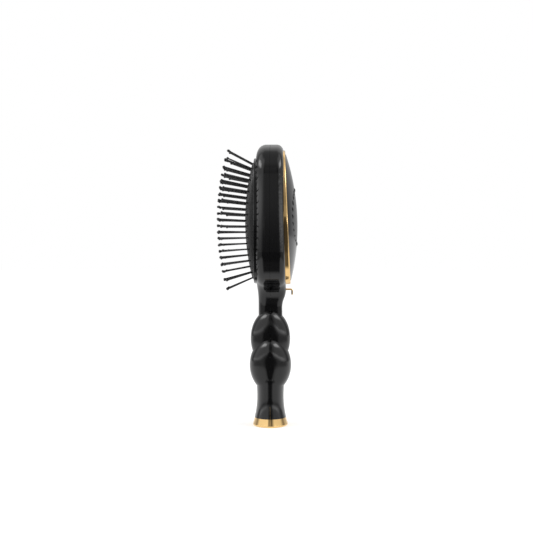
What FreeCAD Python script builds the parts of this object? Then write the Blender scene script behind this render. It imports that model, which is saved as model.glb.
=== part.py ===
# Detangling brush: a gloss two-part housing with a stacked-bulb handle, an air cushion that carries
# fanned ball-tipped pins, a domed back panel in a gold bezel, a gold base cap and a small gold hook.
# Millimetres. +Z runs up the handle to the head, the pins point to -X, and Y is the brush's width.
# The origin is the middle of the base cap's flat underside.
import FreeCAD, Part
import math
import os

Vector = FreeCAD.Vector

# Handle, from the base up
base_cap_height = 6.3
base_edge_radius = 1.2
shaft_half_thickness = 10.1
shaft_half_width = 16.6
flare_height = 22.0
flare_spread = 3.7
lower_bulb_z = 46.0
lower_bulb_half_height = 20.8
lower_bulb_half_thickness = 15.8
lower_bulb_half_width = 16.8
upper_bulb_z = 66.0
upper_bulb_half_height = 21.8
upper_bulb_half_thickness = 15.05
upper_bulb_half_width = 12.6
bulb_bluntness = 5
bulb_sections = 8
neck_half_thickness = 9.0
neck_half_width = 8.3

# Head outline, seen from the front
head_top_z = 212.8
head_middle_z = 158.0
head_rim_width = 7.2
head_side_radius = 2500.0
head_top_radius = 75.0
head_corner_radius = 22.0
head_shoulder_radius = 28.0
head_shoulder_z = 132.0
neck_fillet_radius = 18.0

# Head thickness, seen from the side
head_front_x = -10.4
head_back_x = 10.8
front_brow_z = 196.0
front_brow_radius = 90.0
front_taper_top_z = 114.0
front_taper_bottom_z = 94.0
back_taper_top_z = 104.0
back_taper_bottom_z = 89.0
back_tilt_deg = 1.15
front_edge_radius = 7.0
back_edge_radius = 5.0

# Housing
wall = 2.4
parting_x = 0.1
parting_gap = 0.12
fit_gap = 0.15

# Cushion and its frame
cushion_z = 155.0
cushion_half_width = 29.8
cushion_half_length = 45.2
oval_squareness = 0.82
cushion_apex_x = -19.1
cushion_crown_radius_y = 196.0
cushion_crown_radius_z = 175.0
cushion_edge_radius = 2.6
membrane = 1.2
cushion_flange_width = 2.0
cushion_flange_thickness = 1.4
vent_radius = 0.9
frame_front_x = -12.2
frame_height = 3.2
frame_width = 2.2
frame_edge_radius = 0.7
ledge_thickness = 3.0
ledge_width = 1.2
plate_thickness = 2.0
plate_margin = 2.4

# Pins
pin_columns = 11
pin_pitch = 8.5
pin_length = 21.5
pin_radius = 0.55
pin_ball_radius = 0.95
pin_root_radius = 0.75
pin_root_thickness = 0.7
pin_root_gap = 0.45
pin_hole_gap = 0.1
pin_border = 2.0
fan_width_deg = 13.0
fan_length_deg = 13.0
edge_lean_deg = 15.0
edge_lean_power = 6
pin_rake_deg = 2.5
pin_scatter_deg = 1.1
press_travel = 3.0

# Back panel, bezel and rope border
bezel_z = 157.7
bezel_side_margin = 4.0
bezel_half_length = 50.8
bezel_squareness = 0.75
bezel_width = 3.0
bezel_height = 2.5
bezel_wedge_deg = 1.3
bezel_lip = 1.4
bezel_edge_radius = 0.9
bezel_peg_radius = 0.7
panel_flange_thickness = 0.7
panel_wall = 2.2
panel_apex_x = 20.4
panel_crown_radius_y = 66.0
panel_crown_radius_z = 175.0
rope_ring_radius = 20.5
rope_strands = 24
rope_strand_half_length = 2.5
rope_strand_radius = 0.95
rope_strand_sink = 0.35
rope_lay_deg = 35.0

# Screws that clamp the two housing halves and the backing plate
screw_shank_radius = 0.9
screw_head_radius = 1.6
screw_head_height = 1.2
screw_bite = 6.0
screw_margin = 0.7
post_radius = 2.4

# Hook on the back of the neck
hook_z = 103.2
hook_wire_radius = 0.65
hook_reach = 4.6
hook_drop = 3.6
hook_bend_radius = 1.1
hook_head_radius = 1.5
hook_head_thickness = 0.9

# Base cap plug
plug_height = 9.0
plug_wall = 2.0

# Values that follow from the sizes above
far = 400.0
head_half_width = cushion_half_width + head_rim_width
bezel_half_width = head_half_width - bezel_side_margin
shaft_top_z = lower_bulb_z - lower_bulb_half_height * 0.4
neck_bottom_z = upper_bulb_z
frame_back_x = frame_front_x + frame_height
ledge_front_x = frame_back_x + cushion_flange_thickness
ledge_back_x = ledge_front_x + ledge_thickness
plate_back_x = ledge_back_x + plate_thickness
floor_inner_x = head_back_x - wall
squareness_power = math.log(0.5) / math.log(oval_squareness)


def box(x_range, y_range, z_range):
    """A box between the given limits."""
    corner = Vector(x_range[0], y_range[0], z_range[0])
    size = [limits[1] - limits[0] for limits in (x_range, y_range, z_range)]
    return Part.makeBox(size[0], size[1], size[2], corner)


def half_space(x_low, x_high):
    """All that lies between two planes across the thickness."""
    return box((x_low, x_high), (-far, far), (-far, far))


def oval_wire(x, half_width, half_length, middle_z, squareness):
    """A smooth closed oval across the thickness, squarer than an ellipse: one conic to each quarter."""
    corner_weight = (squareness - 0.5) / (1 - squareness)
    turns = [(1, 0), (1, 1), (0, 1), (-1, 1), (-1, 0), (-1, -1), (0, -1), (1, -1), (1, 0)]
    places = [Vector(x, y * half_width, middle_z + z * half_length) for y, z in turns]
    quarters = []
    for start in range(0, 8, 2):
        quarter = Part.BezierCurve()
        quarter.setPoles(places[start:start + 3])
        quarter.setWeight(2, corner_weight)
        quarters.append(quarter.toShape())
    return Part.Wire(quarters)


def oval_prism(x_low, x_high, half_width, half_length, middle_z, squareness):
    """A straight-sided oval plate from x_low to x_high."""
    wire = oval_wire(x_low, half_width, half_length, middle_z, squareness)
    return Part.Face(wire).extrude(Vector(x_high - x_low, 0, 0))


def cushion_oval(x_low, x_high, margin):
    """An oval plate that follows the cushion's outline at a margin outside it."""
    return oval_prism(x_low, x_high, cushion_half_width + margin, cushion_half_length + margin,
                      cushion_z, oval_squareness)


def bezel_oval(x_low, x_high, margin):
    """An oval plate that follows the bezel's outline at a margin outside it."""
    return oval_prism(x_low, x_high, bezel_half_width + margin, bezel_half_length + margin,
                      bezel_z, bezel_squareness)


def crowned_block(apex_x, side, radius_y, radius_z, middle_z, depth, half_width, half_length):
    """A block whose outer face, towards side, is crowned across its width and along its length."""
    edge_x = apex_x - side * (radius_y - math.sqrt(radius_y ** 2 - half_width ** 2))
    base_x = apex_x - side * depth
    arc = Part.Arc(Vector(edge_x, -half_width, middle_z), Vector(apex_x, 0, middle_z),
                   Vector(edge_x, half_width, middle_z)).toShape()
    corners = [Vector(edge_x, half_width, middle_z), Vector(base_x, half_width, middle_z),
               Vector(base_x, -half_width, middle_z), Vector(edge_x, -half_width, middle_z)]
    wire = Part.Wire([arc] + Part.makePolygon(corners).Edges)
    axis_point = Vector(apex_x - side * radius_z, 0, middle_z)
    sweep_deg = math.degrees(math.asin(half_length / (radius_z - depth)))
    face = Part.Face(wire)
    face.rotate(axis_point, Vector(0, 1, 0), -sweep_deg)
    return face.revolve(axis_point, Vector(0, 1, 0), 2 * sweep_deg)


def crown_x(apex_x, side, radius_y, radius_z, y, z):
    """Where a crowned face lies at a place across and along it."""
    fall_y = radius_y - math.sqrt(radius_y ** 2 - y ** 2)
    reach = radius_z - fall_y
    return apex_x - side * (radius_z - math.sqrt(reach ** 2 - z ** 2))


# Head and neck

def arc_edge(centre, radius, start, end):
    """The short arc about centre from start to end, each a (y, z) place."""
    middle_y = (start[0] + end[0]) / 2 - centre[0]
    middle_z = (start[1] + end[1]) / 2 - centre[1]
    stretch = radius / math.hypot(middle_y, middle_z)
    middle = (centre[0] + middle_y * stretch, centre[1] + middle_z * stretch)
    return Part.Arc(*[Vector(0, y, z) for y, z in (start, middle, end)]).toShape()


def on_line(centre, other, distance):
    """The place at a distance from centre towards other."""
    span = math.hypot(other[0] - centre[0], other[1] - centre[1])
    return tuple(c + (o - c) * distance / span for c, o in zip(centre, other))


def head_outline_face(inset):
    """The head and neck seen from the front, as tangent arcs, drawn in by inset all round."""
    side = (head_half_width - head_side_radius, head_middle_z)
    top = (0.0, head_top_z - head_top_radius)
    side_reach = head_side_radius - head_corner_radius
    top_reach = head_top_radius - head_corner_radius
    span = math.hypot(top[0] - side[0], top[1] - side[1])
    along = (side_reach ** 2 - top_reach ** 2 + span ** 2) / (2 * span)
    across = math.sqrt(side_reach ** 2 - along ** 2)
    unit = ((top[0] - side[0]) / span, (top[1] - side[1]) / span)
    corner = (side[0] + unit[0] * along - unit[1] * across, side[1] + unit[1] * along + unit[0] * across)
    shoulder_reach = head_side_radius - head_shoulder_radius
    shoulder_y = side[0] + math.sqrt(shoulder_reach ** 2 - (head_shoulder_z - head_middle_z) ** 2)
    shoulder = (shoulder_y, head_shoulder_z)
    hollow_y = neck_half_width + neck_fillet_radius
    hollow_span = head_shoulder_radius + neck_fillet_radius
    hollow = (hollow_y, head_shoulder_z - math.sqrt(hollow_span ** 2 - (hollow_y - shoulder_y) ** 2))

    neck_y = neck_half_width - inset
    foot = (neck_y, neck_bottom_z)
    neck_end = (neck_y, hollow[1])
    hollow_end = on_line(shoulder, hollow, head_shoulder_radius - inset)
    shoulder_end = on_line(side, shoulder, head_side_radius - inset)
    corner_start = on_line(side, corner, head_side_radius - inset)
    corner_end = on_line(top, corner, head_top_radius - inset)
    crest = (0.0, head_top_z - inset)
    half = [Part.makeLine(Vector(0, *foot), Vector(0, *neck_end)),
            arc_edge(hollow, neck_fillet_radius + inset, neck_end, hollow_end),
            arc_edge(shoulder, head_shoulder_radius - inset, hollow_end, shoulder_end),
            arc_edge(side, head_side_radius - inset, shoulder_end, corner_start),
            arc_edge(corner, head_corner_radius - inset, corner_start, corner_end),
            arc_edge(top, head_top_radius - inset, corner_end, crest)]
    mirrored = [edge.mirror(Vector(0, 0, 0), Vector(0, 1, 0)) for edge in half]
    base = Part.makeLine(Vector(0, -foot[0], foot[1]), Vector(0, *foot))
    wire = Part.Wire(Part.__sortEdges__(half + mirrored + [base]))
    return Part.Face(wire)


def s_curve(start, end):
    """Two tangent arcs that lead from one upright line to another, in the plane of the side view."""
    shift = end[0] - start[0]
    drop = start[1] - end[1]
    radius = (shift ** 2 + drop ** 2) / (4 * abs(shift))
    turn = math.copysign(radius, shift)
    half_angle = math.asin(drop / 2 / radius) / 2
    lean_x = radius * (1 - math.cos(half_angle))
    lean_z = radius * math.sin(half_angle)
    sign = math.copysign(1, turn)
    middle = ((start[0] + end[0]) / 2, (start[1] + end[1]) / 2)
    upper = (start[0] + sign * lean_x, start[1] - lean_z)
    lower = (end[0] - sign * lean_x, end[1] + lean_z)
    first = Part.Arc(*[Vector(x, 0, z) for x, z in (start, upper, middle)]).toShape()
    second = Part.Arc(*[Vector(x, 0, z) for x, z in (middle, lower, end)]).toShape()
    return [first, second]


def side_cutter_face(outside_x, head_x, neck_x, taper_top_z, taper_bottom_z, brow_z, brow_radius):
    """What is cut away in front of or behind the head and neck, seen from the side."""
    top_z = head_top_z + wall
    start, end = (head_x, taper_top_z), (neck_x, taper_bottom_z)
    low = neck_bottom_z - wall
    path = [Vector(neck_x, 0, taper_bottom_z), Vector(neck_x, 0, low), Vector(outside_x, 0, low),
            Vector(outside_x, 0, top_z)]
    edges = s_curve(start, end)
    if brow_radius:
        centre = Vector(head_x + math.copysign(brow_radius, -head_x), 0, brow_z)
        turn = math.asin((top_z - brow_z) / brow_radius)
        brow = [centre + Vector(head_x - centre.x, 0, 0) * math.cos(turn * share) +
                Vector(0, 0, brow_radius * math.sin(turn * share)) for share in (0.0, 0.5, 1.0)]
        edges.append(Part.Arc(*brow).toShape())
        path.append(brow[2])
        edges.append(Part.makeLine(brow[0], Vector(head_x, 0, taper_top_z)))
    else:
        path += [Vector(head_x, 0, top_z), Vector(head_x, 0, taper_top_z)]
    return Part.Face(Part.Wire(Part.__sortEdges__(edges + Part.makePolygon(path).Edges)))


def lean_back(shape, extra_deg=0.0):
    """Leans a shape with the head's back face, which stands further out towards the neck."""
    shape.rotate(Vector(head_back_x, 0, bezel_z), Vector(0, 1, 0), -back_tilt_deg - extra_deg)
    return shape


def head_block(inset):
    """Head and neck with sharp front and back edges, drawn in by inset."""
    reach = head_back_x - head_front_x
    face = head_outline_face(inset)
    face.translate(Vector(head_front_x - reach, 0, 0))
    block = face.extrude(Vector(3 * reach, 0, 0))
    front = side_cutter_face(head_front_x - 2 * reach, head_front_x + inset, -neck_half_thickness + inset,
                             front_taper_top_z, front_taper_bottom_z, front_brow_z, front_brow_radius)
    lean = (bezel_z - back_taper_bottom_z) * math.sin(math.radians(back_tilt_deg))
    back = side_cutter_face(head_back_x + 2 * reach, head_back_x - inset, neck_half_thickness - inset - lean,
                            back_taper_top_z, back_taper_bottom_z, 0.0, 0.0)
    cutters = []
    for face in (front, lean_back(back)):
        face.translate(Vector(0, -2 * head_half_width, 0))
        cutters.append(face.extrude(Vector(0, 4 * head_half_width, 0)))
    return block.cut(cutters)


def rounded_head():
    """Head and neck with their front and back edges rounded."""
    block = head_block(0.0)
    front_edges, back_edges = [], []
    for edge in block.Edges:
        faces = block.ancestorsOfType(edge, Part.Face)
        upright = [abs(face.normalAt(*face.Surface.parameter(edge.CenterOfMass)).x) < 0.3 for face in faces]
        low = edge.BoundBox.ZMax < neck_bottom_z + 1e-3
        across = edge.BoundBox.XLength > (head_back_x - head_front_x) / 2
        if low or across or len(set(upright)) < 2:
            continue
        (front_edges if edge.CenterOfMass.x < 0 else back_edges).append(edge)
    rounded = block.makeFillet(front_edge_radius, front_edges)
    matching = [edge for edge in rounded.Edges
                if any(abs(edge.Length - old.Length) < 1e-6 and
                       edge.CenterOfMass.distanceToPoint(old.CenterOfMass) < 1e-6 for old in back_edges)]
    return rounded.makeFillet(back_edge_radius, matching)


# Bulbs and shaft

def bulb(middle_z, half_thickness, half_height, half_width, inset):
    """An egg whose height holds on towards its sides: ellipses that shrink across the brush's width."""
    wires = []
    for step in range(-bulb_sections, bulb_sections + 1):
        share = math.sin(math.pi / 2 * step / (bulb_sections + 0.35))
        thick = (half_thickness - inset) * math.sqrt(1 - share ** 2)
        high = (half_height - inset) * (1 - abs(share) ** bulb_bluntness) ** (1 / bulb_bluntness)
        place = Vector(0, share * (half_width - inset), middle_z)
        ellipse = Part.Ellipse(place + Vector(0, 0, high), place + Vector(thick, 0, 0), place)
        wires.append(Part.Wire([ellipse.toShape()]))
    return Part.makeLoft(wires, True, False)


def shaft(inset, low_z):
    """The oval shaft, flared towards the base."""
    stations = [low_z + (flare_height - low_z) * step / 4 for step in range(5)] + [shaft_top_z]
    wires = []
    for z in stations:
        spread = flare_spread * max(0.0, 1 - z / flare_height) ** 2 - inset
        ellipse = Part.Ellipse(Vector(0, shaft_half_width + spread, z),
                               Vector(shaft_half_thickness + spread, 0, z), Vector(0, 0, z))
        wires.append(Part.Wire([ellipse.toShape()]))
    return Part.makeLoft(wires, True, False)


def handle(inset):
    """The two bulbs and the shaft, drawn in by inset."""
    return [bulb(upper_bulb_z, upper_bulb_half_thickness, upper_bulb_half_height, upper_bulb_half_width, inset),
            bulb(lower_bulb_z, lower_bulb_half_thickness, lower_bulb_half_height, lower_bulb_half_width, inset),
            shaft(inset, base_cap_height)]


def outer_body():
    """The whole outside of the housing, above the base cap."""
    body = rounded_head()
    for part in handle(0.0):
        body = body.fuse(part)
    return body


def cavity():
    """The hollow inside the housing."""
    ledge = box((-far, ledge_back_x), (-far, far), (front_taper_bottom_z, far))
    hollow = head_block(wall).cut(ledge)
    for part in handle(wall):
        hollow = hollow.fuse(part)
    return hollow


# Screws

def screw_places():
    """Where the clamping screws stand, under the cushion's flange."""
    half_width = cushion_half_width + screw_margin
    half_length = cushion_half_length + screw_margin
    shares = [(1.0, 0.0), (oval_squareness, oval_squareness), (oval_squareness, -oval_squareness)]
    return [(side * y * half_width, cushion_z + z * half_length) for y, z in shares for side in (-1, 1)]


def x_cylinder(radius, x_low, x_high, y, z):
    """A round bar along the thickness."""
    return Part.makeCylinder(radius, x_high - x_low, Vector(x_low, y, z), Vector(1, 0, 0))


def clamp_screw(y, z, gap):
    """One countersunk screw, or with a gap the hole that it needs."""
    shank = x_cylinder(screw_shank_radius + gap, ledge_front_x, plate_back_x + screw_bite + gap, y, z)
    head = Part.makeCone(screw_head_radius + gap, screw_shank_radius + gap, screw_head_height,
                         Vector(ledge_front_x, y, z), Vector(1, 0, 0))
    return shank.fuse(head)


def make_screws():
    return Part.makeCompound([clamp_screw(y, z, 0.0) for y, z in screw_places()])


# Housing halves

def make_shells():
    """The front and rear halves of the housing."""
    body = outer_body().cut(cavity())
    front = body.common(half_space(-far, parting_x - parting_gap / 2))
    pocket = cushion_oval(-far, ledge_front_x, frame_width + fit_gap)
    opening = cushion_oval(-far, ledge_back_x + wall, -ledge_width)
    front = front.cut(pocket).cut(opening)
    rear = body.common(half_space(parting_x + parting_gap / 2, far))
    posts = [x_cylinder(post_radius, plate_back_x, floor_inner_x + wall / 2, y, z) for y, z in screw_places()]
    rear = rear.fuse(posts)
    holes = [clamp_screw(y, z, fit_gap / 2) for y, z in screw_places()]
    front = front.cut(holes)
    pegs = [lean_back(x_cylinder(bezel_peg_radius + fit_gap, 0.0, far, 0.0, z)) for z in peg_heights()]
    hook_hole = x_cylinder(hook_wire_radius + fit_gap / 2, 0.0, far, 0.0, hook_z)
    rear = rear.cut(holes + pegs + [hook_hole])
    return front.removeSplitter(), rear.removeSplitter()


# Cushion, frame and backing plate

def cushion_block(inset):
    """The cushion's crowned block, drawn in by inset."""
    prism = cushion_oval(-far, ledge_front_x, -inset)
    half_width = cushion_half_width + cushion_edge_radius
    half_length = cushion_half_length + cushion_edge_radius
    depth = ledge_front_x - cushion_apex_x + wall
    crown = crowned_block(cushion_apex_x + inset, -1, cushion_crown_radius_y - inset,
                          cushion_crown_radius_z - inset, cushion_z, depth, half_width, half_length)
    block = prism.common(crown)
    edges = [edge for edge in block.Edges
             if edge.CenterOfMass.x < frame_front_x and edge.Curve.TypeId != "Part::GeomLine"]
    return block.makeFillet(cushion_edge_radius - inset, edges)


def make_cushion(inner, pins):
    """The rubber membrane with its clamped flange, its vent and a hole for each pin."""
    flange = cushion_oval(frame_back_x, ledge_front_x, cushion_flange_width)
    holes = [pin_bar(place, pin_radius + pin_hole_gap) for place in pins]
    vent = x_cylinder(vent_radius, -far, 0.0, 0.0, cushion_z - pin_pitch / 4)
    return cushion_block(0.0).fuse(flange).cut([inner] + holes + [vent])


def make_frame():
    """The ring that clamps the cushion's flange to the front half."""
    outer = cushion_oval(frame_front_x, frame_back_x, frame_width)
    edges = [edge for edge in outer.Edges if edge.BoundBox.XMax < frame_front_x + 1e-6]
    return outer.makeFillet(frame_edge_radius, edges).cut(cushion_oval(-far, far, fit_gap))


def make_plate():
    """The plate that closes the air chamber behind the cushion."""
    plate = cushion_oval(ledge_back_x, plate_back_x, plate_margin)
    return plate.cut([clamp_screw(y, z, fit_gap / 2) for y, z in screw_places()])


# Pins

def pin_places(inner):
    """Each pin's column, root and direction: staggered columns that follow the cushion's outline."""
    half_width = cushion_half_width - pin_border
    half_length = cushion_half_length - pin_border
    middle = (pin_columns - 1) // 2
    rows = int(half_length / pin_pitch) + 1
    places = []
    for column in range(-middle, middle + 1):
        for row in range(-rows, rows + 1):
            z = pin_pitch * (row + 0.5 * (column % 2))
            along = z / half_length
            if abs(along) > 0.99:
                continue
            width = half_width * (1 - abs(along) ** squareness_power) ** (1 / squareness_power)
            across = column / middle
            y = width * across
            lean_y = fan_width_deg * y / half_width + edge_lean_deg * across ** edge_lean_power * math.copysign(1, y)
            scatter = pin_scatter_deg * math.sin(2.4 * column + 1.7 * row)
            lean_z = (fan_length_deg * along + pin_rake_deg + scatter +
                      edge_lean_deg * along ** edge_lean_power * math.copysign(1, along))
            direction = Vector(-1, math.tan(math.radians(lean_y)), math.tan(math.radians(lean_z))).normalize()
            places.append((column + middle + 1, pin_root(inner, y, cushion_z + z, direction), direction))
    return places


def pin_root(inner, y, z, direction):
    """The middle of a pin's root, just behind the membrane."""
    probe = Part.makeLine(Vector(cushion_apex_x - wall, y, z), Vector(ledge_front_x, y, z))
    inside = inner.common(probe)
    surface = Vector(inside.BoundBox.XMin, y, z)
    return surface - direction * (pin_root_gap + pin_root_thickness)


def pin_bar(place, radius):
    """A straight round bar along a pin."""
    column, root, direction = place
    return Part.makeCylinder(radius, pin_length, root, direction)


def pin_shape():
    """One pin, root at the origin and ball up +Z, as one turned profile."""
    shank_end = pin_root_gap + pin_root_thickness + membrane + pin_length - pin_ball_radius
    join = math.sqrt(pin_ball_radius ** 2 - pin_radius ** 2)
    ball_side = Vector(pin_ball_radius, 0, shank_end)
    ball_top = Vector(0, 0, shank_end + pin_ball_radius)
    neck = Vector(pin_radius, 0, shank_end - join)
    steps = [ball_top, Vector(0, 0, 0), Vector(pin_root_radius, 0, 0),
             Vector(pin_root_radius, 0, pin_root_thickness), Vector(pin_radius, 0, pin_root_thickness), neck]
    ball = Part.Arc(neck, ball_side, ball_top).toShape()
    wire = Part.Wire(Part.makePolygon(steps).Edges + [ball])
    return Part.Face(wire).revolve(Vector(0, 0, 0), Vector(0, 0, 1), 360)


def make_pin_column(pins, column):
    """All pins of one column, as separate solids."""
    shape = pin_shape()
    solids = []
    for place_column, root, direction in pins:
        if place_column == column:
            pin = shape.copy()
            pin.Placement = FreeCAD.Placement(root, FreeCAD.Rotation(Vector(0, 0, 1), direction))
            solids.append(pin)
    return Part.makeCompound(solids)


# Back panel, bezel and hook

def peg_heights():
    """Where the bezel's two pegs enter the rear half."""
    reach = bezel_half_length - (bezel_width - bezel_lip) / 2
    return [bezel_z - reach, bezel_z + reach]


def make_bezel():
    """The gold ring that traps the back panel's flange, deeper towards the neck."""
    outer = bezel_oval(head_back_x, far, 0.0)
    top = half_space(-far, head_back_x + bezel_height)
    top.rotate(Vector(head_back_x + bezel_height, 0, bezel_z), Vector(0, 1, 0), -bezel_wedge_deg)
    outer = outer.common(top)
    edges = [edge for edge in outer.Edges
             if edge.BoundBox.XMin > head_back_x + 1e-3 and edge.Curve.TypeId != "Part::GeomLine"]
    ring = outer.makeFillet(bezel_edge_radius, edges)
    ring = ring.cut(bezel_oval(-far, far, -bezel_width))
    ring = ring.cut(bezel_oval(-far, head_back_x + panel_flange_thickness + fit_gap, bezel_lip - bezel_width))
    pegs = [x_cylinder(bezel_peg_radius, floor_inner_x, head_back_x + panel_flange_thickness, 0.0, z)
            for z in peg_heights()]
    return lean_back(ring.fuse(pegs))


def panel_dome(inset):
    """The back panel's domed block, drawn in by inset."""
    crown = crowned_block(panel_apex_x - inset, 1, panel_crown_radius_y - inset, panel_crown_radius_z - inset,
                          bezel_z, panel_apex_x - head_back_x + 2 * wall, bezel_half_width, bezel_half_length)
    crown.rotate(Vector(head_back_x, 0, bezel_z), Vector(0, 1, 0), -bezel_wedge_deg)
    return bezel_oval(head_back_x, far, -bezel_width - fit_gap - inset).common(crown)


def rope_strand(turn_deg):
    """One strand of the raised rope border, laid on the dome."""
    angle = math.radians(turn_deg)
    y = rope_ring_radius * math.cos(angle)
    z = rope_ring_radius * math.sin(angle)
    x = crown_x(panel_apex_x, 1, panel_crown_radius_y, panel_crown_radius_z, y, z)
    slope = Vector(1, y / panel_crown_radius_y, z / panel_crown_radius_z).normalize()
    lay = angle + math.pi / 2 + math.radians(rope_lay_deg)
    along = Vector(0, math.cos(lay), math.sin(lay))
    along = (along - slope * along.dot(slope)).normalize()
    ellipse = Part.Ellipse(Vector(0, 0, rope_strand_half_length), Vector(rope_strand_radius, 0, 0),
                           Vector(0, 0, 0))
    arc = Part.ArcOfEllipse(ellipse, -math.pi, 0.0).toShape()
    chord = Part.makeLine(arc.Vertexes[0].Point, arc.Vertexes[1].Point)
    strand = Part.Face(Part.Wire([arc, chord])).revolve(Vector(0, 0, 0), Vector(0, 0, 1), 360)
    centre = Vector(x, y, bezel_z + z) - slope * rope_strand_sink
    strand.Placement = FreeCAD.Placement(centre, FreeCAD.Rotation(Vector(0, 0, 1), along))
    strand.rotate(Vector(head_back_x, 0, bezel_z), Vector(0, 1, 0), -bezel_wedge_deg)
    return strand


def make_back_panel():
    """The domed back panel with its flange and its raised rope border."""
    flange = bezel_oval(head_back_x, head_back_x + panel_flange_thickness, bezel_lip - bezel_width - fit_gap)
    strands = [rope_strand(360.0 * step / rope_strands) for step in range(rope_strands)]
    return lean_back(panel_dome(0.0).fuse([flange] + strands).cut(panel_dome(panel_wall)))


def neck_back_x():
    """How far back the neck reaches at the hook."""
    probe = Part.makeLine(Vector(0, 0, hook_z), Vector(2 * head_back_x, 0, hook_z))
    return head_block(0.0).common(probe).BoundBox.XMax


def make_hook():
    """The bent wire hook, with its head inside the neck."""
    back_x = neck_back_x()
    inner_x = back_x - wall - fit_gap
    turn_x = back_x + hook_reach - hook_bend_radius
    turn_z = hook_z - hook_bend_radius
    lean = hook_bend_radius * math.sqrt(0.5)
    corner = Part.Arc(Vector(turn_x, 0, hook_z), Vector(turn_x + lean, 0, turn_z + lean),
                      Vector(turn_x + hook_bend_radius, 0, turn_z)).toShape()
    path = Part.Wire([Part.makeLine(Vector(inner_x, 0, hook_z), Vector(turn_x, 0, hook_z)), corner,
                      Part.makeLine(Vector(turn_x + hook_bend_radius, 0, turn_z),
                                    Vector(turn_x + hook_bend_radius, 0, hook_z - hook_drop))])
    section = Part.Wire([Part.makeCircle(hook_wire_radius, Vector(inner_x, 0, hook_z), Vector(1, 0, 0))])
    wire = path.makePipeShell([section], True, False)
    head = x_cylinder(hook_head_radius, inner_x - hook_head_thickness, inner_x, 0.0, hook_z)
    tip = Part.makeSphere(hook_wire_radius, Vector(turn_x + hook_bend_radius, 0, hook_z - hook_drop))
    return wire.fuse([head, tip])


def make_base_cap():
    """The gold foot, which plugs into the shaft and holds the two halves together."""
    cap = shaft(0.0, 0.0).common(box((-far, far), (-far, far), (0.0, base_cap_height)))
    edges = [edge for edge in cap.Edges if edge.BoundBox.ZMax < 1e-6]
    cap = cap.makeFillet(base_edge_radius, edges)
    span = box((-far, far), (-far, far), (base_cap_height, base_cap_height + plug_height))
    plug = shaft(wall + fit_gap, 0.0).common(span)
    bore = shaft(wall + fit_gap + plug_wall, 0.0).common(span)
    return cap.fuse(plug).cut(bore)


def main():
    os.makedirs("parts", exist_ok=True)
    inner = cushion_block(membrane)
    pins = pin_places(inner)
    front_shell, rear_shell = make_shells()
    parts = {
        "front_shell": front_shell,
        "rear_shell": rear_shell,
        "cushion": make_cushion(inner, pins),
        "cushion_frame": make_frame(),
        "backing_plate": make_plate(),
        "back_panel": make_back_panel(),
        "bezel": make_bezel(),
        "base_cap": make_base_cap(),
        "hook": make_hook(),
        "clamp_screws": make_screws(),
    }
    for column in range(1, pin_columns + 1):
        parts["pin_column_%02d" % column] = make_pin_column(pins, column)
    for name, shape in parts.items():
        solids = shape.Solids
        print(name, len(solids), "solids", round(shape.Volume / 1000, 3), "cm3", shape.isValid())
        shape.exportStep(os.path.join("parts", name + ".step"))


main()
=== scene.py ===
"""Detangling brush: finishes, the rubber air cushion and a small studio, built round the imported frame."""

import math

import bpy
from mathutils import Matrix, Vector


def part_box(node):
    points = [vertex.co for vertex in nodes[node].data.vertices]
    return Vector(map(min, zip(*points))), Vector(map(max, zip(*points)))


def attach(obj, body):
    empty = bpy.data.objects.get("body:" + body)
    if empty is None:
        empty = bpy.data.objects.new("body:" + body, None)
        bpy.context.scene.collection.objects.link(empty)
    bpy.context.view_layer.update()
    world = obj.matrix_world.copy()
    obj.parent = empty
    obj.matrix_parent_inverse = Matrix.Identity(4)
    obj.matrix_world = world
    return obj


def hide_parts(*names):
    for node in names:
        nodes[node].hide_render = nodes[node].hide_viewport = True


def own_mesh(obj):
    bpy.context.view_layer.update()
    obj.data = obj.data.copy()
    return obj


bl_info = {
    "name": "Detangling Brush",
    "version": (1, 0, 0),
    "blender": (4, 5, 0),
    "location": "View3D > Sidebar > Brush",
    "description": "Dresses the brush's frame with lacquer, gold, rubber and nylon, and lights it",
    "category": "Add Mesh",
}

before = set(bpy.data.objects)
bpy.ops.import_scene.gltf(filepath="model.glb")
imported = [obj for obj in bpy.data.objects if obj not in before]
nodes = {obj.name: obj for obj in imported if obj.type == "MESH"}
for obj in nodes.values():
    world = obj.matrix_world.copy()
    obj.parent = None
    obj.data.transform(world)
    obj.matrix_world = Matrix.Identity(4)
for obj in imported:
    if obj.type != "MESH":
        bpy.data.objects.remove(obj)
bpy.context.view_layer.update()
cushion_low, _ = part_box("cushion")
ring_low, ring_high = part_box("cushion_frame")

# the pins' layout on the cushion: pitch and border in metres, rows above and below the middle one, and how
# far along the cushion's half length a row may stand
PIN_NODES = sorted(name for name in nodes if name.startswith("pin_column_"))
PIN_PITCH = 0.0085
PIN_BORDER = 0.002
PIN_ROWS_EACH_WAY = 6
LAST_ROW_SHARE = 0.99

# the cushion's mesh: how its rings crowd towards the edge, how much nearer the edge is than it is along the
# ray from the middle, and the angle up to which it is shaded smooth
RING_CROWDING = 1.25
EDGE_SLANT = 0.94
SMOOTH_BELOW = math.radians(40)

# the depth of every finish's bump, and the studio's sizes, in metres
BUMP_DEPTH = 0.0002
FLOOR_SIZE = 12.0
SOFTBOX_PLACE = (1.09, -0.51, 0.50)
SOFTBOX_AIM = (0, 0, 0.15)
SOFTBOX_WIDTH = 0.30
SOFTBOX_HEIGHT = 0.70

# the camera's sensor, in millimetres
SENSOR_WIDTH = 36.0

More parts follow.
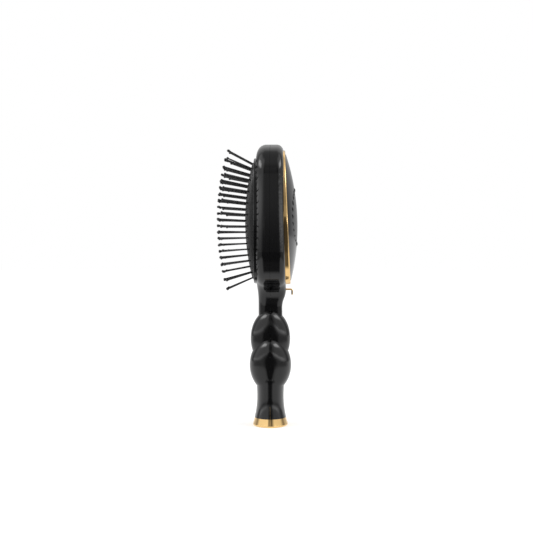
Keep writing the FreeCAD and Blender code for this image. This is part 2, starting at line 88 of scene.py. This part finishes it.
# glows that the gloss sees: level, (degrees round from the camera's side), (degrees up); each window is
# where a glow starts to rise, is whole, starts to fall and is gone
DARK_ROOM = 0.05
GLOWS = {
    "front_band": (0.30, (-24, -10, 12, 26), (0.3, 4.2, 8, 13)),
    "front_upper": (0.2, (-12, -6, 6, 12), (8, 13, 24, 36)),
    "left_flank": (0.9, (-130, -100, -30, -8), (0.3, 4.2, 55, 75)),
    "left_edge": (0.9, (-125, -105, -55, -25), (0.3, 4.2, 4.4, 6)),
    "left_low": (0.4, (-130, -100, -60, -20), (-3, -2, 1, 4)),
    "left_softbox": (4.5, (-105, -85, -60, -42), (21, 30, 36, 48)),
    "left_back": (0.5, (-200, -190, -140, -115), (-3, -2, 60, 80)),
    "right_flank": (0.75, (14, 48, 95, 130), (0.3, 4.2, 55, 75)),
    "right_edge": (1.8, (14, 40, 75, 110), (0.3, 4.2, 4.4, 6)),
    "right_low": (0.4, (20, 60, 100, 130), (-3, -2, 1, 4)),
    "right_softbox": (4.0, (42, 60, 85, 105), (21, 30, 36, 48)),
    "right_back": (0.5, (115, 140, 190, 200), (-3, -2, 60, 80)),
    "ceiling": (0.42, (-200, -190, 190, 200), (13, 55, 100, 101)),
}

# the paper's own glow, its level in the gloss, and the painted shade that greys its reflection: share,
# (metres from the foot), (degrees round); the first two go on past the paper's edge
FLOOR_GLOW = 0.2
FLOOR_LEVEL = 0.95
FLOOR_PAINTED_SHADES = {
    "near_wedge": (0.85, (0.06, 0.10, 20, 30), (-40, -14, 14, 40)),
    "far_wedge": (0.88, (0.20, 0.56, 20, 30), (-48, -12, 14, 50)),
    "far_band": (0.55, (0.36, 0.60, 8, 9), (-130, -90, 90, 130)),
}


class CushionSettings(bpy.types.PropertyGroup):
    """Sizes of the rubber air cushion."""

    middle_z: bpy.props.FloatProperty(
        name="Middle Height", description="Height of the cushion's middle above the foot",
        default=0.155, unit="LENGTH")
    half_width: bpy.props.FloatProperty(
        name="Half Width", description="Half of the cushion's width inside its frame",
        default=0.0298, unit="LENGTH")
    half_length: bpy.props.FloatProperty(
        name="Half Length", description="Half of the cushion's length inside its frame",
        default=0.0452, unit="LENGTH")
    squareness: bpy.props.FloatProperty(
        name="Squareness", description="How far the outline's corners reach: 0.707 is an ellipse",
        default=0.82, min=0.6, max=0.95)
    crown_radius_across: bpy.props.FloatProperty(
        name="Crown Radius Across", description="Radius of the crown across the width",
        default=0.196, unit="LENGTH")
    crown_radius_along: bpy.props.FloatProperty(
        name="Crown Radius Along", description="Radius of the crown along the length",
        default=0.175, unit="LENGTH")
    edge_radius: bpy.props.FloatProperty(
        name="Edge Radius", description="Rounding where the crown rolls over to the side",
        default=0.0026, unit="LENGTH")
    rings: bpy.props.IntProperty(
        name="Rings", description="Rings of faces from the middle to the edge", default=64, min=8, max=120)
    dimple_depth: bpy.props.FloatProperty(
        name="Dimple Depth", description="How far the rubber is drawn in round each pin",
        default=0.00035, unit="LENGTH")
    dimple_radius: bpy.props.FloatProperty(
        name="Dimple Radius", description="Reach of the dimple round each pin",
        default=0.0013, unit="LENGTH")
    press_keep: bpy.props.FloatProperty(
        name="Pressed Share", description="Share of the crown's height left when the pins are pressed in",
        default=0.565, min=0.1, max=1.0)


class FinishSettings(bpy.types.PropertyGroup):
    """Colours of the brush's materials."""

    lacquer: bpy.props.FloatVectorProperty(
        name="Lacquer", description="Colour of the gloss housing", subtype="COLOR",
        default=(0.002, 0.002, 0.0022))
    gold: bpy.props.FloatVectorProperty(
        name="Gold", description="Colour of the plated bezel, foot and hook", subtype="COLOR",
        default=(0.95, 0.64, 0.28))
    rubber: bpy.props.FloatVectorProperty(
        name="Rubber", description="Colour of the cushion", subtype="COLOR",
        default=(0.014, 0.014, 0.014))
    nylon: bpy.props.FloatVectorProperty(
        name="Nylon", description="Colour of the pins", subtype="COLOR",
        default=(0.010, 0.010, 0.011))
    inner: bpy.props.FloatVectorProperty(
        name="Inner Plastic", description="Colour of the hidden backing plate", subtype="COLOR",
        default=(0.03, 0.03, 0.03))
    steel: bpy.props.FloatVectorProperty(
        name="Steel", description="Colour of the hidden screws", subtype="COLOR",
        default=(0.56, 0.56, 0.58))


class StageSettings(bpy.types.PropertyGroup):
    """The camera and the studio's lamps."""

    camera_distance: bpy.props.FloatProperty(
        name="Camera Distance", description="From the brush to the camera", default=1.0, unit="LENGTH")
    camera_azimuth: bpy.props.FloatProperty(
        name="Camera Azimuth", description="How far the camera stands towards the back of the brush",
        default=math.radians(1.3), subtype="ANGLE")
    camera_height: bpy.props.FloatProperty(
        name="Camera Height", description="Height of the camera above the floor",
        default=0.137, unit="LENGTH")
    aim_x: bpy.props.FloatProperty(
        name="Aim X", description="Where the picture's middle lies across the thickness",
        default=-0.003, unit="LENGTH")
    aim_z: bpy.props.FloatProperty(
        name="Aim Height", description="Height of the picture's middle", default=0.1205, unit="LENGTH")
    view_width: bpy.props.FloatProperty(
        name="View Width", description="Width of the picture at the brush", default=0.405, unit="LENGTH")
    side_power: bpy.props.FloatProperty(
        name="Side Softboxes", description="Power of each side softbox", default=5.0, unit="POWER")
    dome_radius: bpy.props.FloatProperty(
        name="Dome Radius", description="Radius of the graded dome that the gloss reflects",
        default=6.0, unit="LENGTH")


def deselect_everything():
    """Leaves edit mode and selects nothing."""
    if bpy.context.mode != "OBJECT":
        bpy.ops.object.mode_set(mode="OBJECT")
    bpy.ops.object.select_all(action="DESELECT")


def oval_reach(angle, half_width, half_length, squareness):
    """Distance from the middle to a conic-cornered oval, in the direction of an angle."""
    across = abs(math.cos(angle)) / half_width
    along = abs(math.sin(angle)) / half_length
    weight = (squareness - 0.5) / (1 - squareness)
    low, high = 0.0, 1.0
    for _ in range(40):
        t = (low + high) / 2
        start, corner, end = (1 - t) ** 2, 2 * weight * t * (1 - t), t ** 2
        total = start + corner + end
        y, z = (start + corner) / total, (corner + end) / total
        if y * along > z * across:
            low = t
        else:
            high = t
    return math.hypot(y * half_width, z * half_length)


def pin_spots(settings):
    """Where the staggered columns of pins pass through the cushion: (y, z) from its middle."""
    half_width = settings.half_width - PIN_BORDER
    half_length = settings.half_length - PIN_BORDER
    power = math.log(0.5) / math.log(settings.squareness)
    middle = len(PIN_NODES) // 2
    spots = []
    for column in range(-middle, middle + 1):
        for row in range(-PIN_ROWS_EACH_WAY, PIN_ROWS_EACH_WAY + 1):
            z = PIN_PITCH * (row + 0.5 * (column % 2))
            along = abs(z) / half_length
            if along < LAST_ROW_SHARE:
                width = half_width * (1 - along ** power) ** (1 / power)
                spots.append((width * column / middle, z))
    return spots


def cushion_height(y, z, inside, settings, spots):
    """How far the rubber stands out of the frame's mouth at a place, inside its outline by a distance."""
    apex = -cushion_low[0]
    fall_across = settings.crown_radius_across - math.sqrt(settings.crown_radius_across ** 2 - y ** 2)
    reach = settings.crown_radius_along - fall_across
    height = apex - settings.crown_radius_along + math.sqrt(reach ** 2 - z ** 2)
    if inside < settings.edge_radius:
        left = settings.edge_radius - inside
        height -= settings.edge_radius - math.sqrt(max(0.0, settings.edge_radius ** 2 - left ** 2))
    for spot_y, spot_z in spots:
        gap = math.hypot(y - spot_y, z - spot_z)
        if gap < 3 * settings.dimple_radius:
            height -= settings.dimple_depth * math.exp(-(gap / settings.dimple_radius) ** 2)
    return height


def model_cushion(settings):
    """A crowned rubber pad, drawn in round each pin, with a skirt that goes down inside the frame."""
    deselect_everything()
    rings = settings.rings
    bpy.ops.mesh.primitive_grid_add(x_subdivisions=2 * rings, y_subdivisions=2 * rings, size=2)
    pad = bpy.context.object
    pad.name = "air_cushion"
    spots = pin_spots(settings)
    for vertex in pad.data.vertices:
        u, v = vertex.co.x, vertex.co.y
        ring = max(abs(u), abs(v))
        if ring < 1e-9:
            angle = 0.0
        elif abs(u) >= abs(v):
            angle = math.pi / 4 * v / u + (0.0 if u > 0 else math.pi)
        else:
            angle = math.pi / 2 - math.pi / 4 * u / v + (0.0 if v > 0 else math.pi)
        share = 1 - (1 - ring) ** RING_CROWDING if ring < 1 else 1.0
        reach = oval_reach(angle, settings.half_width, settings.half_length, settings.squareness)
        y, z = share * reach * math.cos(angle), share * reach * math.sin(angle)
        inside = (1 - share) * reach * EDGE_SLANT
        height = cushion_height(y, z, inside, settings, spots)
        vertex.co = Vector((-height, y, settings.middle_z + z))
    bpy.ops.object.mode_set(mode="EDIT")
    bpy.ops.mesh.select_mode(type="EDGE")
    bpy.ops.mesh.select_all(action="SELECT")
    bpy.ops.mesh.region_to_loop()
    bpy.ops.mesh.extrude_edges_move(TRANSFORM_OT_translate={"value": (0.0, 0.0, 0.0)})
    bpy.ops.object.mode_set(mode="OBJECT")
    for vertex in pad.data.vertices:
        if vertex.select:
            vertex.co.x = ring_high[0]
    bpy.ops.object.mode_set(mode="EDIT")
    bpy.ops.mesh.edge_face_add()
    bpy.ops.mesh.select_all(action="SELECT")
    bpy.ops.mesh.normals_make_consistent(inside=False)
    bpy.ops.object.mode_set(mode="OBJECT")
    bpy.ops.object.shade_smooth_by_angle(angle=SMOOTH_BELOW)
    return pad


def breakup_group():
    """Slow and fine mottling of a surface: a roughness between two values and a height for a bump."""
    group = bpy.data.node_groups.new("surface_breakup", "ShaderNodeTree")
    for name, default in (("Scale", 60.0), ("Fine Scale", 900.0), ("Low", 0.1), ("High", 0.2)):
        socket = group.interface.new_socket(name, in_out="INPUT", socket_type="NodeSocketFloat")
        socket.default_value = default
    group.interface.new_socket("Roughness", in_out="OUTPUT", socket_type="NodeSocketFloat")
    group.interface.new_socket("Height", in_out="OUTPUT", socket_type="NodeSocketFloat")
    source = group.nodes.new("NodeGroupInput")
    result = group.nodes.new("NodeGroupOutput")
    place = group.nodes.new("ShaderNodeTexCoord")
    slow = group.nodes.new("ShaderNodeTexNoise")
    fine = group.nodes.new("ShaderNodeTexNoise")
    slow.inputs["Detail"].default_value = 4.0
    fine.inputs["Detail"].default_value = 2.0
    spread = group.nodes.new("ShaderNodeMapRange")
    spread.inputs["From Min"].default_value = 0.3
    spread.inputs["From Max"].default_value = 0.7
    link = group.links.new
    link(place.outputs["Object"], slow.inputs["Vector"])
    link(place.outputs["Object"], fine.inputs["Vector"])
    link(source.outputs["Scale"], slow.inputs["Scale"])
    link(source.outputs["Fine Scale"], fine.inputs["Scale"])
    link(source.outputs["Low"], spread.inputs["To Min"])
    link(source.outputs["High"], spread.inputs["To Max"])
    link(slow.outputs["Fac"], spread.inputs["Value"])
    link(spread.outputs["Result"], result.inputs["Roughness"])
    link(fine.outputs["Fac"], result.inputs["Height"])
    return group


def surface(name, colour, group, scale, fine_scale, low, high, bump):
    """A Principled material with the shared mottling in its roughness and its bump."""
    material = bpy.data.materials.new(name)
    material.use_nodes = True
    tree = material.node_tree
    shader = tree.nodes["Principled BSDF"]
    shader.inputs["Base Color"].default_value = (*colour, 1.0)
    breakup = tree.nodes.new("ShaderNodeGroup")
    breakup.node_tree = group
    breakup.inputs["Scale"].default_value = scale
    breakup.inputs["Fine Scale"].default_value = fine_scale
    breakup.inputs["Low"].default_value = low
    breakup.inputs["High"].default_value = high
    relief = tree.nodes.new("ShaderNodeBump")
    relief.inputs["Strength"].default_value = bump
    relief.inputs["Distance"].default_value = BUMP_DEPTH
    tree.links.new(breakup.outputs["Roughness"], shader.inputs["Roughness"])
    tree.links.new(breakup.outputs["Height"], relief.inputs["Height"])
    tree.links.new(relief.outputs["Normal"], shader.inputs["Normal"])
    return material, shader


def dress(node, material):
    """Gives a CAD node its finished material."""
    nodes[node].data.materials.clear()
    nodes[node].data.materials.append(material)


def brush_materials(colours):
    """All the brush's finishes, by name."""
    group = bpy.data.node_groups.get("surface_breakup") or breakup_group()
    finishes = {}
    finishes["lacquer"], shader = surface("gloss_black_lacquer", colours.lacquer, group, scale=45.0,
                                          fine_scale=260.0, low=0.09, high=0.13, bump=0.015)
    shader.inputs["IOR"].default_value = 1.52
    finishes["gold"], shader = surface("pale_gold_plating", colours.gold, group, scale=70.0,
                                       fine_scale=1500.0, low=0.05, high=0.09, bump=0.01)
    shader.inputs["Metallic"].default_value = 1.0
    finishes["rubber"], _ = surface("satin_rubber", colours.rubber, group, scale=120.0,
                                    fine_scale=4000.0, low=0.42, high=0.55, bump=0.25)
    finishes["nylon"], _ = surface("satin_nylon", colours.nylon, group, scale=200.0,
                                   fine_scale=2500.0, low=0.26, high=0.36, bump=0.05)
    finishes["inner"], _ = surface("moulded_inner_plastic", colours.inner, group, scale=90.0,
                                   fine_scale=2000.0, low=0.5, high=0.65, bump=0.1)
    finishes["steel"], shader = surface("plain_steel", colours.steel, group, scale=150.0,
                                        fine_scale=2500.0, low=0.25, high=0.4, bump=0.05)
    shader.inputs["Metallic"].default_value = 1.0
    return finishes


class BRUSH_OT_finishes(bpy.types.Operator):
    """Give every rigid part its lacquer, gold, nylon or steel"""

    bl_idname = "brush.finishes"
    bl_label = "Finish Rigid Parts"

    def execute(self, context):
        finishes = brush_materials(context.scene.brush_finish)
        for node in ("front_shell", "rear_shell", "cushion_frame", "back_panel"):
            dress(node, finishes["lacquer"])
        for node in ("bezel", "base_cap", "hook"):
            dress(node, finishes["gold"])
        for node in PIN_NODES:
            dress(node, finishes["nylon"])
        dress("backing_plate", finishes["inner"])
        dress("clamp_screws", finishes["steel"])
        dress("cushion", finishes["rubber"])
        return {"FINISHED"}


class BRUSH_OT_cushion(bpy.types.Operator):
    """Model the rubber air cushion that the pins stand in"""

    bl_idname = "brush.cushion"
    bl_label = "Model Air Cushion"

    def execute(self, context):
        settings = context.scene.brush_cushion
        pad = model_cushion(settings)
        pad.data.materials.append(bpy.data.materials["satin_rubber"])
        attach(pad, "housing")
        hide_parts("cushion")
        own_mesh(pad)
        return {"FINISHED"}


def area_lamp(name, place, aim, width, height, power):
    """A soft rectangular lamp that faces a point."""
    data = bpy.data.lights.new(name, "AREA")
    data.shape = "RECTANGLE"
    data.size = width
    data.size_y = height
    data.energy = power
    lamp = bpy.data.objects.new(name, data)
    lamp.location = place
    lamp.rotation_euler = (Vector(aim) - Vector(place)).to_track_quat("-Z", "Y").to_euler()
    bpy.context.scene.collection.objects.link(lamp)
    return lamp


def smooth_step(tree, value, start, end, low, high):
    """A smooth ramp from low to high as a value goes from start to end."""
    ramp = tree.nodes.new("ShaderNodeMapRange")
    ramp.interpolation_type = "SMOOTHSTEP"
    for name, number in (("From Min", start), ("From Max", end), ("To Min", low), ("To Max", high)):
        ramp.inputs[name].default_value = number
    tree.links.new(value, ramp.inputs["Value"])
    return ramp.outputs["Result"]


def arithmetic(tree, operation, first, second):
    """One sum of two values, each a socket or a number."""
    node = tree.nodes.new("ShaderNodeMath")
    node.operation = operation
    for socket, value in zip(node.inputs, (first, second)):
        if isinstance(value, (int, float)):
            socket.default_value = value
        else:
            tree.links.new(value, socket)
    return node.outputs[0]


def window(tree, value, limits):
    """A share that rises from 0 to 1 between two limits and falls again between two more."""
    rise_start, rise_end, fall_start, fall_end = limits
    rise = smooth_step(tree, value, rise_start, rise_end, 0.0, 1.0)
    fall = smooth_step(tree, value, fall_start, fall_end, 1.0, 0.0)
    return arithmetic(tree, "MULTIPLY", rise, fall)


def layered(tree, base, layers, first, second):
    """A base level, and on it each layer's share inside its windows of two values."""
    level = base
    for share, first_limits, second_limits in layers.values():
        inside = arithmetic(tree, "MULTIPLY", window(tree, first, first_limits),
                            window(tree, second, second_limits))
        level = arithmetic(tree, "ADD", level, arithmetic(tree, "MULTIPLY", inside, share))
    return level


def directions(tree):
    """The place on an object, its height, and its degrees round the brush from the camera's side."""
    place = tree.nodes.new("ShaderNodeTexCoord")
    split = tree.nodes.new("ShaderNodeSeparateXYZ")
    tree.links.new(place.outputs["Object"], split.inputs[0])
    towards = arithmetic(tree, "MULTIPLY", split.outputs["Y"], -1.0)
    turn = arithmetic(tree, "ARCTAN2", split.outputs["X"], towards)
    return place.outputs["Object"], split.outputs["Z"], arithmetic(tree, "MULTIPLY", turn, math.degrees(1))


def floor_material():
    """White paper, which the gloss sees white round the foot and, as painted shade, grey further out."""
    material = bpy.data.materials.new("white_floor")
    material.use_nodes = True
    tree = material.node_tree
    paper = tree.nodes["Principled BSDF"]
    paper.inputs["Base Color"].default_value = (0.9, 0.9, 0.9, 1.0)
    paper.inputs["Roughness"].default_value = 0.9
    paper.inputs["Specular IOR Level"].default_value = 0.0
    paper.inputs["Emission Color"].default_value = (1.0, 1.0, 1.0, 1.0)
    paper.inputs["Emission Strength"].default_value = FLOOR_GLOW
    place, _, round_degrees = directions(tree)
    reach = tree.nodes.new("ShaderNodeVectorMath")
    reach.operation = "LENGTH"
    tree.links.new(place, reach.inputs[0])
    # painted shade: what the gloss sees of the paper is greyed in wedges on the camera's side and in a band
    # further round
    shade = layered(tree, 0.0, FLOOR_PAINTED_SHADES, reach.outputs["Value"], round_degrees)
    level = arithmetic(tree, "MAXIMUM", arithmetic(tree, "SUBTRACT", FLOOR_LEVEL, shade), DARK_ROOM)
    # glossy rays see this painted grey emission in place of the lit paper
    grey = tree.nodes.new("ShaderNodeEmission")
    tree.links.new(level, grey.inputs["Strength"])
    path = tree.nodes.new("ShaderNodeLightPath")
    either = tree.nodes.new("ShaderNodeMixShader")
    tree.links.new(path.outputs["Is Glossy Ray"], either.inputs[0])
    tree.links.new(paper.outputs[0], either.inputs[1])
    tree.links.new(grey.outputs[0], either.inputs[2])
    tree.links.new(either.outputs[0], tree.nodes["Material Output"].inputs["Surface"])
    return material


def dome_material(radius):
    """A dark camera side with paler flanks, two tall softboxes and a ceiling."""
    material = bpy.data.materials.new("graded_dome")
    material.use_nodes = True
    tree = material.node_tree
    tree.nodes.clear()
    _, height, round_degrees = directions(tree)
    climb = arithmetic(tree, "ARCSINE", arithmetic(tree, "DIVIDE", height, radius), 0.0)
    up_degrees = arithmetic(tree, "MULTIPLY", climb, math.degrees(1))
    level = layered(tree, DARK_ROOM, GLOWS, round_degrees, up_degrees)
    glow = tree.nodes.new("ShaderNodeEmission")
    out = tree.nodes.new("ShaderNodeOutputMaterial")
    tree.links.new(level, glow.inputs["Strength"])
    tree.links.new(glow.outputs[0], out.inputs["Surface"])
    return material


def graded_dome(settings):
    """A half sphere of graded light round the set that only reflections see."""
    deselect_everything()
    bpy.ops.mesh.primitive_uv_sphere_add(segments=96, ring_count=64, radius=settings.dome_radius,
                                         location=(0, 0, 0))
    dome = bpy.context.object
    dome.name = "graded_dome"
    bpy.ops.object.mode_set(mode="EDIT")
    bpy.ops.mesh.select_all(action="SELECT")
    bpy.ops.mesh.bisect(plane_co=(0, 0, 0), plane_no=(0, 0, 1), clear_inner=True)
    bpy.ops.object.mode_set(mode="OBJECT")
    dome.data.materials.append(dome_material(settings.dome_radius))
    dome.visible_camera = False
    dome.visible_diffuse = False
    dome.visible_shadow = False
    dome.visible_transmission = False
    return dome


def paper_floor():
    """A wide sheet of white paper under the foot."""
    deselect_everything()
    bpy.ops.mesh.primitive_plane_add(size=FLOOR_SIZE, location=(0, 0, 0))
    floor = bpy.context.object
    floor.name = "studio_floor"
    floor.data.materials.append(floor_material())
    return floor


def white_surround(scene):
    """An even white world."""
    world = scene.world or bpy.data.worlds.new("studio")
    scene.world = world
    world.use_nodes = True
    backdrop = world.node_tree.nodes["Background"]
    backdrop.inputs["Color"].default_value = (1.0, 1.0, 1.0, 1.0)
    backdrop.inputs["Strength"].default_value = 1.0


def side_softboxes(settings):
    """A lamp on either side, which reflections leave to the dome."""
    reach, depth, height = SOFTBOX_PLACE
    for name, side in (("softbox_front", -1), ("softbox_back", 1)):
        lamp = area_lamp(name, (side * reach, depth, height), SOFTBOX_AIM, SOFTBOX_WIDTH, SOFTBOX_HEIGHT,
                         settings.side_power)
        lamp.visible_glossy = False


def photo_camera(settings):
    """A camera that looks at the brush's side."""
    data = bpy.data.cameras.new("photo_camera")
    data.sensor_width = SENSOR_WIDTH
    data.lens = SENSOR_WIDTH * settings.camera_distance / settings.view_width
    data.clip_start = 0.01
    camera = bpy.data.objects.new("photo_camera", data)
    aim = Vector((settings.aim_x, 0.0, settings.aim_z))
    camera.location = (settings.aim_x + settings.camera_distance * math.sin(settings.camera_azimuth),
                       -settings.camera_distance * math.cos(settings.camera_azimuth),
                       settings.camera_height)
    camera.rotation_euler = (aim - camera.location).to_track_quat("-Z", "Y").to_euler()
    return camera


class BRUSH_OT_stage(bpy.types.Operator):
    """Set the floor, the white surround, the lamps and the camera"""

    bl_idname = "brush.stage"
    bl_label = "Set Studio"

    def execute(self, context):
        settings = context.scene.brush_stage
        scene = context.scene
        scene.view_settings.view_transform = "Standard"
        paper_floor()
        graded_dome(settings)
        white_surround(scene)
        side_softboxes(settings)
        camera = photo_camera(settings)
        scene.collection.objects.link(camera)
        scene.camera = camera
        return {"FINISHED"}


class BRUSH_PT_sidebar(bpy.types.Panel):
    """Lists the brush's steps"""

    bl_idname = "BRUSH_PT_sidebar"
    bl_label = "Detangling Brush"
    bl_space_type = "VIEW_3D"
    bl_region_type = "UI"
    bl_category = "Brush"

    def draw(self, context):
        layout = self.layout
        for step in STEPS:
            layout.operator(step.bl_idname)


STEPS = (BRUSH_OT_finishes, BRUSH_OT_cushion, BRUSH_OT_stage)
SETTINGS = {
    "brush_cushion": CushionSettings,
    "brush_finish": FinishSettings,
    "brush_stage": StageSettings,
}


def register():
    for group in SETTINGS.values():
        bpy.utils.register_class(group)
    for name, group in SETTINGS.items():
        setattr(bpy.types.Scene, name, bpy.props.PointerProperty(type=group))
    for step in STEPS:
        bpy.utils.register_class(step)
    bpy.utils.register_class(BRUSH_PT_sidebar)


def unregister():
    bpy.utils.unregister_class(BRUSH_PT_sidebar)
    for step in reversed(STEPS):
        bpy.utils.unregister_class(step)
    for name in SETTINGS:
        delattr(bpy.types.Scene, name)
    for group in SETTINGS.values():
        bpy.utils.unregister_class(group)


def main():
    register()
    bpy.ops.brush.finishes()
    bpy.ops.brush.cushion()
    bpy.ops.brush.stage()


if __name__ == "__main__":
    main()
